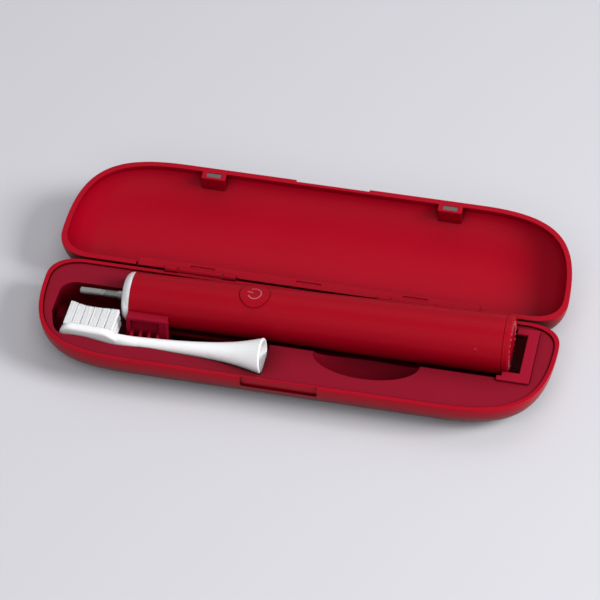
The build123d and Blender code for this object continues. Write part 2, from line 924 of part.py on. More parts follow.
def make_button_seal():
    column = button_place(handle_radius(button_x)) * Cylinder(button_seal_radius, 10)
    column -= button_place(handle_radius(button_x)) * Cylinder(button_radius + button_gap, 12)
    body = column & (handle_skin(button_x, 0.05) - handle_skin(button_x, -shell_wall))
    return on_handle(body)


# End cap with its spigot, seal, turning lugs and contact

def make_end_cap():
    radius = cap_bore_radius - cap_running_gap
    x1 = shell_back - cap_bore_length + 0.3
    body = taper(handle_radius(shell_back), tail_radius, shell_back + 0.15, handle_end)
    body = fillet(body.edges().filter_by(GeomType.CIRCLE).sort_by(Axis.X)[-1], 0.6)
    body += rod(radius, x1, shell_back + 0.5) - rod(radius - cap_spigot_wall, x1 - 1, shell_back + 0.15)
    seal_x = shell_back - cap_seal_place
    body -= rod(radius + 1, seal_x - cap_seal_radius, seal_x + cap_seal_radius) - rod(
        radius - 2 * cap_seal_radius, seal_x - 2, seal_x + 2)
    pad_x = shell_back - lug_pad_place
    pads = rod(radius + lug_pad_height, pad_x - lug_pad_length / 2, pad_x + lug_pad_length / 2)
    pads -= rod(radius - 0.5, pad_x - 2, pad_x + 2)
    width = 2 * radius * sin(radians(lug_pad_angle / 2))
    body += pads & block(-big, big, -width / 2, width / 2, -big, big)
    return on_handle(body)


def make_cap_seal():
    radius = cap_bore_radius - running_gap - cap_seal_radius
    seal = Pos(shell_back - cap_seal_place, 0, 0) * Rot(0, 90, 0) * Torus(radius, cap_seal_radius)
    return on_handle(seal)


def make_cap_contact():
    x2 = shell_back + 0.15
    x1 = cell_front + cell_length - cell_cap_height + 0.3
    half = contact_leaf_width / 2
    t = contact_leaf_thickness
    body = block(x2 - t, x2, -half, half, -7.0, 7.0)
    body += block(x1, x1 + t, -half, half, -4.0, 4.0)
    body += block(x1, x2, -half, half, 4.0 - t, 4.0)
    return on_handle(body)


# Brush head

def plate_frame(piece):
    return Pos(-plate_start, 0, 0) * Rot(0, 0, -plate_tilt) * piece


def plate_length():
    return head_length - plate_start


def backing_span():
    start = -bristle_start
    return start, start - bristle_columns * bristle_pitch


def backing_solid(gap):
    x2, x1 = backing_span()
    half = (bristle_rows * bristle_row_pitch) / 2 + backing_margin
    body = block(x1 - gap, x2 + gap, plate_face - backing_thickness - gap, plate_face + (1 if gap else 0),
                 -half - gap, half + gap)
    return plate_frame(body)


# Plate seen on its face: round at the tip, narrowing towards the stem
def plate_outline():
    half = plate_width / 2
    root = plate_root_width / 2
    tip = -plate_length()
    middle = -plate_taper / 2
    shoulder = half * 0.93
    return make_face([
        Spline((plate_root, root), (middle, shoulder), (-plate_taper, half), tangents=((-1, 0.25), (-1, 0))),
        Line((-plate_taper, half), (tip + half, half)),
        ThreePointArc((tip + half, half), (tip, 0), (tip + half, -half)),
        Line((tip + half, -half), (-plate_taper, -half)),
        Spline((-plate_taper, -half), (middle, -shoulder), (plate_root, -root), tangents=((1, 0), (1, 0.25))),
        Line((plate_root, -root), (plate_root, root))])


# Blend from the round stem to the flat plate
def neck_solid(gap):
    half = plate_width / 2
    thickness = (plate_face + plate_back) / 2
    middle = (plate_face - plate_back) / 2
    radius = stem_places[-1][1]
    stations = [
        (neck_blend + neck_lap, 0, Circle(radius - neck_step + gap)),
        (-1, middle / 2, Ellipse(neck_waist / 2 + gap, neck_spread / 2 + gap)),
        (-neck_blend, middle + neck_blend * tan(radians(plate_tilt)),
         Ellipse(thickness * 0.97 + gap, half * 0.97 + gap))]
    faces = []
    for offset_x, y, face in stations:
        plane = Plane(origin=(-plate_start + offset_x, y, 0), x_dir=(0, 1, 0), z_dir=(-1, 0, 0))
        faces.append(plane * face)
    return loft(faces)


def make_brush_head():
    stem = stem_solid(0)
    rim_edge = stem.edges().filter_by(GeomType.CIRCLE).sort_by(Axis.X)[-1]
    stem = fillet(rim_edge, 0.5)
    bore = taper(socket_radius, mouth_radius, -mouth_depth, 0.01) + rod(socket_radius + 0.02,
                                                                       -socket_start - socket_length, 0)
    plate = Rot(90, 0, 0) * extrude(plate_outline(), plate_face + plate_back)
    plate = Pos(0, plate_face, 0) * plate
    plate = fillet(plate.edges().filter_by(Plane.XZ), plate_edge)
    plate = plate_frame(plate)
    body = stem + plate + neck_solid(0) - bore - backing_solid(backing_gap)
    return on_head(body)


def make_head_socket():
    x1 = -socket_start - socket_length
    body = rod(socket_radius, x1, -socket_start) - rod(socket_bore, x1 - 1, -socket_start + 1)
    return on_head(body)


# Length of the strands in one column, longest at the tip and lowest a third of the way back
def column_length(column):
    share = column / (bristle_columns - 1)
    tip = bristle_tip_extra if column == bristle_columns - 1 else 0
    return bristle_length + tip - bristle_dip * sin(radians(180 * share)) * (0.6 + 0.6 * share)


def make_bristles():
    strands = []
    x2, x1 = backing_span()
    for column in range(bristle_columns):
        x_mid = x2 - bristle_pitch * (column + 0.5)
        for row in range(bristle_rows):
            z_mid = (row - (bristle_rows - 1) / 2) * bristle_row_pitch
            for i in range(strands_along):
                for j in range(strands_across):
                    x = x_mid + (i - (strands_along - 1) / 2) * strand_pitch_along
                    z = z_mid + (j - (strands_across - 1) / 2) * strand_pitch_across
                    trim = 0.18 * ((3 * i + 2 * j + column + row) % 3)
                    strands.append(strand(x, z, column_length(column) - trim))
    return on_head(backing_solid(0).fuse(*strands))


# One square strand, straight across the head from the tilted plate
def strand(x, z, length):
    tilt = radians(plate_tilt)
    x_root = -plate_start + x * cos(tilt) + plate_face * sin(tilt)
    y_root = -x * sin(tilt) + plate_face * cos(tilt)
    return block(x_root - strand_side / 2, x_root + strand_side / 2, y_root - backing_thickness / 2,
                 y_root + length, z - strand_side / 2, z + strand_side / 2)


pieces = {
    "base_shell": make_base_shell,
    "tray": make_tray,
    "neck_saddle": make_neck_saddle,
    "stop_frame": make_stop_frame,
    "catch_plates": make_catch_plates,
    "hinge_pins": make_hinge_pins,
    "lid_shell": make_lid_shell,
    "lid_magnets": make_lid_magnets,
    "handle_shell": make_handle_shell,
    "neck_ring": make_neck_ring,
    "shaft_seal": make_shaft_seal,
    "drive_shaft": make_drive_shaft,
    "rotor": make_rotor,
    "motor_can": make_motor_can,
    "motor_bearings": make_motor_bearings,
    "motor_sleeves": make_motor_sleeves,
    "battery": make_battery,
    "chassis": make_chassis,
    "contact_plate": make_contact_plate,
    "circuit_board": make_circuit_board,
    "board_screws": make_board_screws,
    "switch_body": make_switch_body,
    "switch_plunger": make_switch_plunger,
    "power_button": make_power_button,
    "button_seal": make_button_seal,
    "end_cap": make_end_cap,
    "cap_seal": make_cap_seal,
    "cap_contact": make_cap_contact,
    "brush_head": make_brush_head,
    "head_socket": make_head_socket,
    "bristles": make_bristles,
}

os.makedirs("parts", exist_ok=True)
for name, make in pieces.items():
    export_step(make(), f"parts/{name}.step")
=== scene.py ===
import bpy
import bmesh
import json
import random
from math import cos, pi, radians, sin, sqrt
from mathutils import Matrix, Vector


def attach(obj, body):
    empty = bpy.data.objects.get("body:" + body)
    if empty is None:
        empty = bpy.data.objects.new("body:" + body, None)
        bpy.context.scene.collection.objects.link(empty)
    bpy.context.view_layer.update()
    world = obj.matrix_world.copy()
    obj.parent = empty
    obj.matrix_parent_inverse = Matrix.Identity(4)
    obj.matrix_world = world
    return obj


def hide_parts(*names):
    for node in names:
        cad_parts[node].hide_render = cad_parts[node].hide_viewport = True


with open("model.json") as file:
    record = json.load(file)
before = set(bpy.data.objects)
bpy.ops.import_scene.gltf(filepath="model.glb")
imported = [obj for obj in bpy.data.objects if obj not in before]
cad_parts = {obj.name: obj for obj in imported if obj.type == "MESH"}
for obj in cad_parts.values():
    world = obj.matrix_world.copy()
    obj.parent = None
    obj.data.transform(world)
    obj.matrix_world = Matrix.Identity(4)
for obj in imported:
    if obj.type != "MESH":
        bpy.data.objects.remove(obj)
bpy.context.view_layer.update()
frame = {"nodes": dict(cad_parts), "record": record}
nodes = frame["nodes"]
mm = 0.001
print("frame loaded:", len(nodes), "nodes")


# Rays that look for nooks, for the painted shade, and for edges
raySamples = {"paintedShade": 8, "edge": 6}


# Material building: a socket that can be used in a Python expression

class Field:
    def __init__(self, paint, socket):
        self.paint = paint
        self.socket = socket

    def __add__(self, other):
        return self.paint.maths("ADD", self, other)

    def __radd__(self, other):
        return self.paint.maths("ADD", other, self)

    def __sub__(self, other):
        return self.paint.maths("SUBTRACT", self, other)

    def __rsub__(self, other):
        return self.paint.maths("SUBTRACT", other, self)

    def __mul__(self, other):
        return self.paint.maths("MULTIPLY", self, other)

    def __rmul__(self, other):
        return self.paint.maths("MULTIPLY", other, self)

    def clamped(self):
        return self.paint.maths("ADD", self, 0.0, clamp=True)


class Paint:
    def __init__(self, name):
        self.material = bpy.data.materials.new(name)
        self.material.use_nodes = True
        self.tree = self.material.node_tree
        self.tree.nodes.clear()
        self.end = self.tree.nodes.new("ShaderNodeOutputMaterial")

    # One node: its settings first, then the values or links of its sockets
    def node(self, kind, settings=None, inputs=None, output=0):
        made = self.tree.nodes.new(kind)
        for key, value in (settings or {}).items():
            setattr(made, key, value)
        for key, value in (inputs or {}).items():
            self.feed(made.inputs[key], value)
        return Field(self, made.outputs[output])

    def feed(self, socket, value):
        if isinstance(value, Field):
            self.tree.links.new(value.socket, socket)
        elif value is not None:
            socket.default_value = value

    def maths(self, operation, a, b, clamp=False):
        return self.node("ShaderNodeMath", {"operation": operation, "use_clamp": clamp}, {0: a, 1: b})

    def scaled(self, vector, factors):
        return self.node("ShaderNodeVectorMath", {"operation": "MULTIPLY"}, {0: vector, 1: factors})

    # The colour mix has its colours at sockets 6 and 7 and its result at 2
    def mix(self, factor, a, b):
        return self.node("ShaderNodeMix", {"data_type": "RGBA"}, {0: factor, 6: a, 7: b}, output=2)

    def place(self):
        return self.node("ShaderNodeTexCoord", output=3)  # in the piece's own frame

    def noise(self, scale, detail, roughness=0.5, place=None):
        return self.node("ShaderNodeTexNoise", None, {
            "Vector": place or self.place(), "Scale": scale, "Detail": detail, "Roughness": roughness})

    def bump(self, height, strength, distance, normal=None):
        return self.node("ShaderNodeBump", None, {
            "Strength": strength, "Distance": distance, "Height": height, "Normal": normal})

    # How hidden the surface is by what stands within a distance, from 0 in the open to 1 in a corner, for
    # painting shade into the colour
    def paintedShadeMask(self, distance, gain):
        openness = self.node(
            "ShaderNodeAmbientOcclusion", {"samples": raySamples["paintedShade"]}, {"Distance": distance}, output=1)
        return ((1.0 - openness) * gain).clamped()

    # How sharply the surface turns within a radius, from 0 on a flat to about 1 on an edge
    def edge(self, radius, gain):
        rounded = self.node("ShaderNodeBevel", {"samples": raySamples["edge"]}, {"Radius": radius})
        flat = self.node("ShaderNodeNewGeometry", output=1)
        facing = self.node(
            "ShaderNodeVectorMath", {"operation": "DOT_PRODUCT"}, {0: rounded, 1: flat}, output=1)
        return ((1.0 - facing) * gain).clamped(), rounded

    def surface(self, inputs):
        shader = self.node("ShaderNodeBsdfPrincipled", None, inputs)
        self.tree.links.new(shader.socket, self.end.inputs["Surface"])
        return self.material


def rgb(red, green, blue):
    return (red, green, blue, 1.0)


# Moulded plastic: fine grain, slow changes of tone, edges polished by handling and painted lighter (partly
# wear, partly a painted highlight), and painted shade darkening the nooks
def mouldedPlastic(name, look):
    paint = Paint(name)
    edge, rounded = paint.edge(look["edgeRadius"], look["edgeGain"])
    drift = paint.noise(look["driftScale"], look["driftDetail"])
    grain = paint.noise(look["grainScale"], look["grainDetail"], look["grainBite"])
    scuff = paint.noise(look["scuffScale"], look["scuffDetail"], look["scuffBite"])
    tone = paint.mix(drift, look["deep"], look["light"])
    # Edges painted lighter: partly wear, partly a painted highlight along the rims
    colour = paint.mix(edge * look["edgeWearAndHighlightShare"], tone, look["edgeWearAndHighlightColour"])
    # Painted shade: the colour is darkened towards a near-black red in nooks, recesses and under parts, where
    # shade falls
    if look["paintedShadeGain"]:
        paintedShade = paint.paintedShadeMask(look["paintedShadeReach"], look["paintedShadeGain"])
        colour = paint.mix(paintedShade, colour, look["paintedShadeColour"])
    roughness = look["roughness"] + (scuff - 0.5) * look["roughnessSwing"] - edge * look["edgePolish"]
    normal = paint.bump(grain, look["grainStrength"], look["grainDepth"], rounded)
    return paint.surface({
        "Base Color": colour, "Roughness": roughness.clamped(), "Normal": normal,
        "IOR": look["ior"], "Specular IOR Level": look["gloss"]})


redCase = {
    "deep": rgb(0.345, 0.0010, 0.0115), "light": rgb(0.390, 0.0014, 0.0138),
    "driftScale": 18.0, "driftDetail": 2.0,
    "grainScale": 2600.0, "grainDetail": 3.0, "grainBite": 0.6,
    "grainStrength": 0.20, "grainDepth": 0.06 * mm,
    "scuffScale": 160.0, "scuffDetail": 4.0, "scuffBite": 0.7,
    "roughness": 0.36, "roughnessSwing": 0.10, "ior": 1.5, "gloss": 0.10,
    # Lighter colour on edges: partly wear, partly a painted highlight
    "edgeWearAndHighlightColour": rgb(0.56, 0.0050, 0.024), "edgeRadius": 0.5 * mm,
    "edgeGain": 3.0, "edgeWearAndHighlightShare": 0.5, "edgePolish": 0.08,
    # Painted shade in nooks: its dark colour, how far it reaches and how strong it is
    "paintedShadeColour": rgb(0.050, 0.0003, 0.0020), "paintedShadeReach": 19.0 * mm, "paintedShadeGain": 1.5}
redTray = dict(
    redCase, deep=rgb(0.222, 0.0044, 0.0176), light=rgb(0.260, 0.0058, 0.0208),
    edgeWearAndHighlightColour=rgb(0.43, 0.007, 0.025), edgeWearAndHighlightShare=0.7, grainStrength=0.35, roughness=0.5,
    # Stronger painted shade in the tray's recesses
    paintedShadeReach=15.0 * mm, paintedShadeGain=2.1)
redInsert = dict(
    redTray, deep=rgb(0.275, 0.0040, 0.0205), light=rgb(0.315, 0.0052, 0.0240),
    # Weaker painted shade on the insert
    edgeWearAndHighlightColour=rgb(0.50, 0.008, 0.034), paintedShadeReach=6.0 * mm, paintedShadeGain=0.8)
redHandle = dict(
    redCase, deep=rgb(0.308, 0.0007, 0.0088), light=rgb(0.345, 0.0009, 0.0104),
    edgeWearAndHighlightColour=rgb(0.46, 0.005, 0.018), grainStrength=0.10, roughness=0.40, gloss=0.13, paintedShadeGain=0.0)
redButton = dict(redHandle, deep=rgb(0.312, 0.0008, 0.0090), light=rgb(0.348, 0.0010, 0.0106), roughness=0.44)
redSeal = dict(redHandle, deep=rgb(0.235, 0.0010, 0.006), light=rgb(0.270, 0.0012, 0.007), roughness=0.5)
whiteHead = dict(
    redCase, deep=rgb(0.92, 0.925, 0.94), light=rgb(0.95, 0.955, 0.965), edgeWearAndHighlightColour=rgb(0.97, 0.97, 0.97),
    grainStrength=0.06, roughness=0.30, edgeWearAndHighlightShare=0.2, gloss=0.5, paintedShadeGain=0.0)
blackPlastic = dict(
    redCase, deep=rgb(0.02, 0.02, 0.022), light=rgb(0.035, 0.035, 0.038), edgeWearAndHighlightColour=rgb(0.06, 0.06, 0.06),
    gloss=0.5, paintedShadeGain=0.0)
cellJacket = dict(
    redCase, deep=rgb(0.05, 0.055, 0.07), light=rgb(0.07, 0.075, 0.09), edgeWearAndHighlightColour=rgb(0.16, 0.16, 0.18),
    roughness=0.3, gloss=0.5, paintedShadeGain=0.0)
boardGreen = dict(
    redCase, deep=rgb(0.008, 0.09, 0.035), light=rgb(0.012, 0.12, 0.045), edgeWearAndHighlightColour=rgb(0.25, 0.3, 0.2),
    roughness=0.35, gloss=0.5, paintedShadeGain=0.0)
rubberBlack = dict(blackPlastic, roughness=0.7, grainStrength=0.4)


# Metal: fine turning or grinding marks, a soft change of tone, and edges painted lighter, partly wear and
# partly a painted highlight
def workedMetal(name, look):
    paint = Paint(name)
    edge, rounded = paint.edge(look["edgeRadius"], look["edgeGain"])
    stretched = paint.scaled(paint.place(), look["markStretch"])
    marks = paint.noise(look["markScale"], look["markDetail"], look["markBite"], stretched)
    drift = paint.noise(look["driftScale"], look["driftDetail"])
    tone = paint.mix(drift, look["deep"], look["light"])
    # Edges painted lighter: partly wear, partly a painted highlight
    colour = paint.mix(edge * look["edgeWearAndHighlightShare"], tone, look["edgeWearAndHighlightColour"])
    roughness = look["roughness"] + (marks - 0.5) * look["roughnessSwing"]
    normal = paint.bump(marks, look["markStrength"], look["markDepth"], rounded)
    return paint.surface({
        "Base Color": colour, "Metallic": look["metallic"], "Roughness": roughness.clamped(),
        "Normal": normal})


ringAluminium = {
    "deep": rgb(0.84, 0.85, 0.87), "light": rgb(0.92, 0.93, 0.95), "driftScale": 60.0, "driftDetail": 2.0,
    # Lighter colour on edges: partly wear, partly a painted highlight
    "edgeWearAndHighlightColour": rgb(0.97, 0.97, 0.98), "edgeRadius": 0.3 * mm, "edgeGain": 3.0, "edgeWearAndHighlightShare": 0.35,
    "metallic": 0.4, "roughness": 0.34, "roughnessSwing": 0.12, "markStretch": (900.0, 60.0, 60.0),
    "markScale": 2.0, "markDetail": 3.0, "markBite": 0.65, "markStrength": 0.15, "markDepth": 0.05 * mm}
shaftSteel = dict(
    ringAluminium, deep=rgb(0.42, 0.42, 0.415), light=rgb(0.54, 0.54, 0.53), edgeWearAndHighlightColour=rgb(0.75, 0.75, 0.74),
    metallic=0.9)
magnetNickel = dict(
    ringAluminium, deep=rgb(0.24, 0.21, 0.19), light=rgb(0.32, 0.28, 0.26), edgeWearAndHighlightColour=rgb(0.45, 0.42, 0.40),
    metallic=0.8, roughness=0.6, markStretch=(300.0, 300.0, 300.0))
motorSteel = dict(shaftSteel, roughness=0.4)
bearingBronze = dict(shaftSteel, deep=rgb(0.45, 0.29, 0.12), light=rgb(0.55, 0.37, 0.17), roughness=0.45)
contactBrass = dict(shaftSteel, deep=rgb(0.60, 0.48, 0.25), light=rgb(0.72, 0.60, 0.36), roughness=0.3)


# Nylon strands: pale and slightly clouded, with a little light passing through
def nylonStrands(name, look):
    paint = Paint(name)
    cloud = paint.noise(look["cloudScale"], look["detail"])
    fine = paint.noise(look["fineScale"], look["detail"])
    return paint.surface({
        "Base Color": paint.mix(cloud, look["deep"], look["light"]),
        "Roughness": look["roughness"] + (cloud - 0.5) * look["roughnessSwing"],
        "Normal": paint.bump(fine, look["fineStrength"], look["fineDepth"]),
        "Subsurface Weight": look["glow"], "Subsurface Radius": look["glowRadius"],
        "Subsurface Scale": look["glowScale"]})


paleNylon = {
    "deep": rgb(0.88, 0.885, 0.90), "light": rgb(0.95, 0.955, 0.97), "cloudScale": 900.0, "detail": 2.0,
    "roughness": 0.42, "roughnessSwing": 0.15, "fineScale": 5200.0, "fineStrength": 0.25,
    "fineDepth": 0.03 * mm, "glow": 0.15, "glowRadius": (0.8, 0.8, 0.8), "glowScale": 0.6 * mm}


# Pad-printed ink with a faint mottle
def printInk(name, look):
    paint = Paint(name)
    mottle = paint.noise(look["mottleScale"], look["mottleDetail"])
    return paint.surface({
        "Base Color": paint.mix(mottle, look["deep"], look["light"]),
        "Roughness": look["roughness"] + (mottle - 0.5) * look["roughnessSwing"],
        "Normal": paint.bump(mottle, look["mottleStrength"], look["mottleDepth"])})


symbolRed = {
    "deep": rgb(0.36, 0.085, 0.12), "light": rgb(0.43, 0.12, 0.16), "roughness": 0.4, "roughnessSwing": 0.2,
    "mottleScale": 3000.0, "mottleDetail": 3.0, "mottleStrength": 0.2, "mottleDepth": 0.02 * mm}
dotRed = dict(symbolRed, deep=rgb(0.41, 0.005, 0.025), light=rgb(0.46, 0.008, 0.032))
tickPale = dict(symbolRed, deep=rgb(0.62, 0.42, 0.44), light=rgb(0.72, 0.52, 0.54))

finishes = {
    "case_plastic": mouldedPlastic("caseRed", redCase),
    "tray_plastic": mouldedPlastic("trayRed", redTray),
    "handle_plastic": mouldedPlastic("handleRed", redHandle),
    "button_rubber": mouldedPlastic("buttonSealRed", redSeal),
    "white_plastic": mouldedPlastic("headWhite", whiteHead),
    "inner_plastic": mouldedPlastic("innerBlack", blackPlastic),
    "cell_jacket": mouldedPlastic("cellGrey", cellJacket),
    "board": mouldedPlastic("boardGreen", boardGreen),
    "seal_rubber": mouldedPlastic("sealBlack", rubberBlack),
    "ring_aluminium": workedMetal("ringSatin", ringAluminium),
    "steel": workedMetal("shaftGround", shaftSteel),
    "magnet": workedMetal("magnetDull", magnetNickel),
    "motor_steel": workedMetal("motorPlated", motorSteel),
    "bearing_brass": workedMetal("bearingBronze", bearingBronze),
    "contact_brass": workedMetal("contactPlated", contactBrass),
    "bristle_nylon": nylonStrands("strandNylon", paleNylon),
}
insertFinish = mouldedPlastic("insertRed", redInsert)
ownFinish = {
    "power_button": mouldedPlastic("buttonRed", redButton),
    "cap_seal": mouldedPlastic("capSealRed", redSeal),
    "neck_saddle": insertFinish,
    "stop_frame": insertFinish,
}
symbolInk = printInk("symbolInk", symbolRed)
dotInk = printInk("dotInk", dotRed)
tickInk = printInk("tickInk", tickPale)
print("materials made:", len(finishes))


# Finish of the CAD nodes: their own where they have one, else by their slot in the record
slotOf = {row["node"]: row["material_slot"] for row in frame["record"]["subparts"]}
for name, piece in nodes.items():
    material = ownFinish.get(name, finishes[slotOf[name]])
    piece.data.materials.clear()
    piece.data.materials.append(material)


# Mesh helpers

def newPiece(name, bm, material, body):
    mesh = bpy.data.meshes.new(name)
    bm.to_mesh(mesh)
    bm.free()
    mesh.materials.append(material)
    piece = bpy.data.objects.new(name, mesh)
    bpy.context.scene.collection.objects.link(piece)
    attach(piece, body)
    return piece


def turn(degrees, axis):
    return Matrix.Rotation(radians(degrees), 4, axis)


# Where the handle and the brush head lie
rimHeight = 17.2 * mm
handleLie = {"y": 10.4 * mm, "rise": 1.0 * mm, "yaw": 0.4, "roll": 3.0}
handleForm = {"front": -69.6 * mm, "end": 90.2 * mm, "neckRadius": 10.4 * mm, "tailRadius": 12.7 * mm}
headLie = {"x": -8.9 * mm, "y": -15.9 * mm, "rise": 1.9 * mm, "yaw": 1.31, "pitch": 4.4}
handleLength = handleForm["end"] - handleForm["front"]
handleFlare = (handleForm["tailRadius"] - handleForm["neckRadius"]) / handleLength
onHandle = (
    Matrix.Translation((0, handleLie["y"], rimHeight + handleLie["rise"]))
    @ turn(handleLie["yaw"], "Z") @ Matrix.Rotation(-handleFlare, 4, "Y") @ turn(handleLie["roll"], "X"))
onHead = (
    Matrix.Translation((headLie["x"], headLie["y"], rimHeight + headLie["rise"]))
    @ turn(-headLie["yaw"], "Z") @ turn(-headLie["pitch"], "Y"))


def handleRadius(x):
    return handleForm["neckRadius"] + handleFlare * (x - handleForm["front"])


# Bristles: full tufts of fine strands with rounded ends, in the brush head's plate
bristleForm = {
    "plateStart": 62.0 * mm, "plateTilt": 5.0, "plateFace": 1.5 * mm, "root": 0.7 * mm,
    "start": 2.6 * mm, "columns": 6, "rows": 3, "pitch": 3.62 * mm, "rowPitch": 3.15 * mm,
    "tuftLength": 3.26 * mm, "tuftWidth": 2.8 * mm, "tuftSquareness": 5,
    "strandRadius": 0.135 * mm, "strandPitch": 0.30 * mm, "packing": 0.866, "sides": 6,
    "strandRings": ((0.0, 1.0), (0.5, 1.0), (0.97, 0.96), (0.993, 0.7)),  # shares of length and radius
    "length": 12.5 * mm, "dip": 1.0 * mm, "dipShare": 0.6,
    "tipExtra": 0.9 * mm, "tipFrom": 0.6, "tipCurve": 1.6, "lean": 0.010, "leanScatter": 0.006,
    "placeScatter": 0.03 * mm, "lengthScatter": 0.20 * mm, "seed": 7}


# The tops follow one curve: a shallow dip, then a rise to the tip
def strandLength(form, x):
    share = min(1.0, max(0.0, (-x - form["start"]) / (form["columns"] * form["pitch"])))
    dip = form["dip"] * sin(pi * share) * form["dipShare"] * (1.0 + share)
    tipShare = max(0.0, (share - form["tipFrom"]) / (1.0 - form["tipFrom"]))
    return form["length"] - dip + form["tipExtra"] * tipShare ** form["tipCurve"]


def addStrand(bm, form, root, length, leanX, leanZ):
    sides = form["sides"]
    rings = []
    for along, size in form["strandRings"]:
        centre = root + Vector((leanX * along ** 2, along, leanZ * along ** 2)) * length
        ring = []
        for k in range(sides):
            angle = 2 * pi * k / sides
            offset = Vector((cos(angle), 0, sin(angle))) * form["strandRadius"] * size
            ring.append(bm.verts.new(centre + offset))
        rings.append(ring)
    for lower, upper in zip(rings, rings[1:]):
        for k in range(sides):
            bm.faces.new((lower[k], upper[k], upper[(k + 1) % sides], lower[(k + 1) % sides]))
    tip = bm.verts.new(root + Vector((leanX, 1.0, leanZ)) * length)
    for k in range(sides):
        bm.faces.new((rings[-1][k], tip, rings[-1][(k + 1) % sides]))


# Where the strands of one tuft stand, in staggered rows inside a rounded rectangle
def tuftSpots(form):
    halfLength = form["tuftLength"] / 2
    halfWidth = form["tuftWidth"] / 2
    rowStep = form["strandPitch"] * form["packing"]
    square = form["tuftSquareness"]
    spots = []
    for i in range(int(2 * halfLength / form["strandPitch"]) + 1):
        for j in range(int(2 * halfWidth / rowStep) + 1):
            u = -halfLength + form["strandPitch"] * (i + 0.5 * (j % 2))
            v = -halfWidth + rowStep * j
            if abs(u / halfLength) ** square + abs(v / halfWidth) ** square <= 1.0:
                spots.append((u, v))
    return spots


def addTuft(bm, form, draw, xMid, zMid):
    tilt = radians(form["plateTilt"])
    for u, v in tuftSpots(form):
        x = xMid + u + draw.uniform(-1, 1) * form["placeScatter"]
        z = zMid + v + draw.uniform(-1, 1) * form["placeScatter"]
        xRoot = -form["plateStart"] + x * cos(tilt) + form["plateFace"] * sin(tilt)
        yRoot = -x * sin(tilt) + form["plateFace"] * cos(tilt) - form["root"]
        length = strandLength(form, x) + form["root"] - draw.uniform(0, 1) * form["lengthScatter"]
        leanX = form["lean"] * u / (form["tuftLength"] / 2) + draw.uniform(-1, 1) * form["leanScatter"]
        leanZ = form["lean"] * v / (form["tuftWidth"] / 2) + draw.uniform(-1, 1) * form["leanScatter"]
        addStrand(bm, form, Vector((xRoot, yRoot, z)), length, leanX, leanZ)


def makeBristles(form):
    draw = random.Random(form["seed"])
    bm = bmesh.new()
    for column in range(form["columns"]):
        xMid = -form["start"] - form["pitch"] * (column + 0.5)
        for row in range(form["rows"]):
            zMid = (row - (form["rows"] - 1) / 2) * form["rowPitch"]
            addTuft(bm, form, draw, xMid, zMid)
    bmesh.ops.transform(bm, matrix=onHead, verts=bm.verts)
    for face in bm.faces:
        face.smooth = True
    piece = newPiece("bristle_tufts", bm, finishes["bristle_nylon"], "head")
    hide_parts("bristles")


makeBristles(bristleForm)
print("bristles made")


# Printed marks: each is a thin film of ink, just proud of what it is printed on
markFilm = {"proud": 0.03 * mm, "thickness": 0.02 * mm}


def printedMark(name, bm, ink, body):
    bmesh.ops.recalc_face_normals(bm, faces=bm.faces)
    piece = newPiece(name, bm, ink, body)
    film = piece.modifiers.new("inkFilm", "SOLIDIFY")
    film.thickness = markFilm["thickness"]


# Power symbol that follows the round of the button
symbolForm = {
    "x": -17.6 * mm, "rise": 0.25 * mm, "radius": 2.75 * mm, "line": 0.46 * mm, "opening": 80.0, "steps": 40,
    "bar": 2.5 * mm, "barFrom": 0.25, "barSteps": 8, "turn": 168.0}


def onButton(x, y, form):
    radius = handleRadius(form["x"] + x) + form["rise"] + markFilm["proud"]
    return onHandle @ Vector((form["x"] + x, y, sqrt(radius ** 2 - y ** 2)))


def addRibbon(bm, inner, outer):
    lower = [bm.verts.new(point) for point in inner]
    upper = [bm.verts.new(point) for point in outer]
    for k in range(len(lower) - 1):
        bm.faces.new((lower[k], upper[k], upper[k + 1], lower[k + 1]))


def makeSymbol(form):
    bm = bmesh.new()
    facing = radians(form["turn"])
    gap = radians(form["opening"]) / 2
    side = form["line"] / 2
    angles = [facing + gap + (2 * pi - 2 * gap) * k / form["steps"] for k in range(form["steps"] + 1)]
    rings = []
    for radius in (form["radius"] - side, form["radius"] + side):
        rings.append([onButton(radius * cos(a), radius * sin(a), form) for a in angles])
    addRibbon(bm, rings[0], rings[1])
    lines = []
    for offset in (-side, side):
        points = []
        for k in range(form["barSteps"] + 1):
            along = form["radius"] * form["barFrom"] + form["bar"] * k / form["barSteps"]
            x = along * cos(facing) - offset * sin(facing)
            y = along * sin(facing) + offset * cos(facing)
            points.append(onButton(x, y, form))
        lines.append(points)
    addRibbon(bm, lines[0], lines[1])
    printedMark("power_symbol", bm, symbolInk, "button")


makeSymbol(symbolForm)
print("power symbol made")


# Small dot on the handle near the tail that the cap's turn lines up with
dotForm = {"x": 76.5 * mm, "angle": 58.6, "radius": 0.55 * mm, "steps": 20}


def makeDot(form):
    bm = bmesh.new()
    radius = handleRadius(form["x"]) + markFilm["proud"]
    rim = []
    for k in range(form["steps"]):
        a = 2 * pi * k / form["steps"]
        x = form["x"] + form["radius"] * cos(a)
        around = radians(-form["angle"]) + form["radius"] * sin(a) / radius
        rim.append(bm.verts.new(onHandle @ Vector((x, radius * sin(around), radius * cos(around)))))
    bm.faces.new(rim)
    printedMark("alignment_dot", bm, dotInk, "handle")


makeDot(dotForm)


# Pale tick marks round the face of the end cap, with some longer ones
tickForm = {
    "radius": 9.3 * mm, "length": 1.7 * mm, "width": 0.45 * mm, "count": 24, "longEvery": 6, "longTimes": 1.5}


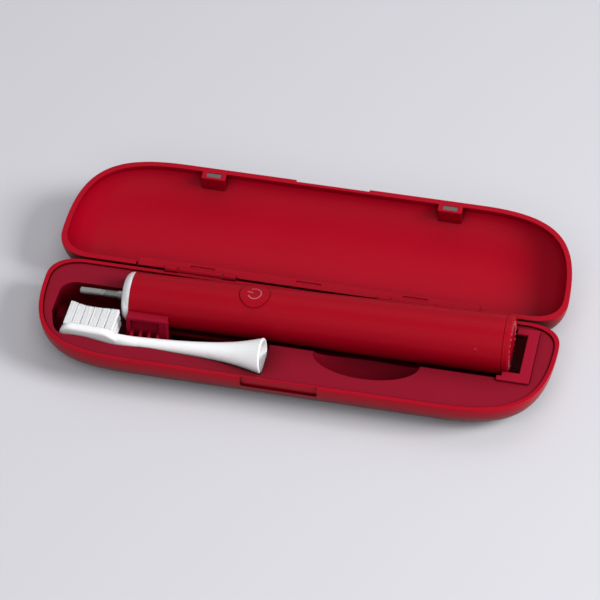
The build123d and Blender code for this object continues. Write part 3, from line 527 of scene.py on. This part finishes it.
def makeTicks(form):
    bm = bmesh.new()
    face = Vector((handleForm["end"] + markFilm["proud"], 0, 0))
    for k in range(form["count"]):
        angle = 2 * pi * k / form["count"]
        length = form["length"] * (form["longTimes"] if k % form["longEvery"] == 0 else 1.0)
        out = Vector((0, sin(angle), cos(angle)))
        across = Vector((0, cos(angle), -sin(angle)))
        corners = []
        for end, side in ((0, -1), (0, 1), (1, 1), (1, -1)):
            spot = out * (form["radius"] - length / 2 + end * length) + across * form["width"] / 2 * side
            corners.append(bm.verts.new(onHandle @ (spot + face)))
        bm.faces.new(corners)
    printedMark("cap_ticks", bm, tickInk, "cap")


makeTicks(tickForm)
print("marks made")


# Floor, lights and camera

floorForm = {
    "size": 6.0, "segments": 4, "colour": rgb(0.636, 0.633, 0.668), "colourFar": rgb(0.616, 0.613, 0.650),
    "cloudScale": 1.5, "cloudDetail": 1.0, "grainScale": 900.0, "grainDetail": 3.0, "grainStrength": 0.05,
    "grainDepth": 0.2 * mm, "roughness": 0.85}


def makeFloor(form):
    paint = Paint("floorPaper")
    grain = paint.noise(form["grainScale"], form["grainDetail"])
    cloud = paint.noise(form["cloudScale"], form["cloudDetail"])
    material = paint.surface({
        "Base Color": paint.mix(cloud, form["colour"], form["colourFar"]), "Roughness": form["roughness"],
        "Normal": paint.bump(grain, form["grainStrength"], form["grainDepth"])})
    bm = bmesh.new()
    bmesh.ops.create_grid(
        bm, x_segments=form["segments"], y_segments=form["segments"], size=form["size"] / 2)
    mesh = bpy.data.meshes.new("studioFloor")
    bm.to_mesh(mesh)
    bm.free()
    mesh.materials.append(material)
    floor = bpy.data.objects.new("studioFloor", mesh)
    bpy.context.scene.collection.objects.link(floor)


makeFloor(floorForm)

# Each box of light is aimed at the middle of the case; mirrored says whether it shows in gloss
mainLight = {"place": (1.42, -0.10, 1.00), "width": 0.7, "depth": 0.7, "power": 27.0, "mirrored": False}
topLight = {"place": (0.1, 0.7, 1.7), "width": 1.3, "depth": 1.0, "power": 3.6, "mirrored": True}
fillLight = {"place": (0.1, -1.2, 1.35), "width": 1.4, "depth": 1.4, "power": 14.5, "mirrored": False}


def makeSoftBox(name, form):
    lamp = bpy.data.lights.new(name, "AREA")
    lamp.shape = "RECTANGLE"
    lamp.size = form["width"]
    lamp.size_y = form["depth"]
    lamp.energy = form["power"]
    piece = bpy.data.objects.new(name, lamp)
    piece.location = form["place"]
    piece.visible_glossy = form["mirrored"]
    piece.rotation_mode = "QUATERNION"
    piece.rotation_quaternion = (-piece.location).to_track_quat("-Z", "Y")
    bpy.context.scene.collection.objects.link(piece)


makeSoftBox("mainLight", mainLight)
makeSoftBox("topLight", topLight)
makeSoftBox("fillLight", fillLight)

airForm = {"colour": rgb(0.78, 0.79, 0.82), "strength": 0.36}
world = bpy.data.worlds.new("studioAir")
world.use_nodes = True
background = world.node_tree.nodes["Background"]
background.inputs["Color"].default_value = airForm["colour"]
background.inputs["Strength"].default_value = airForm["strength"]
bpy.context.scene.world = world

cameraForm = {
    "place": (215.05 * mm, -1032.54 * mm, 1014.10 * mm), "forward": (-0.14622, 0.71310, -0.68564),
    "roll": 0.0027, "lens": 212.56, "sensor": 36.0, "near": 0.05, "far": 20.0}


def makeCamera(form):
    data = bpy.data.cameras.new("studioCamera")
    data.lens = form["lens"]
    data.sensor_width = form["sensor"]
    data.clip_start = form["near"]
    data.clip_end = form["far"]
    camera = bpy.data.objects.new("studioCamera", data)
    camera.location = Vector(form["place"]) + Vector((0, 0, rimHeight))
    camera.rotation_mode = "QUATERNION"
    level = Vector(form["forward"]).to_track_quat("-Z", "Y")
    camera.rotation_quaternion = level @ Matrix.Rotation(form["roll"], 3, "Z").to_quaternion()
    bpy.context.scene.collection.objects.link(camera)
    bpy.context.scene.camera = camera


makeCamera(cameraForm)
bpy.context.scene.view_settings.view_transform = "Standard"
print("stage made")
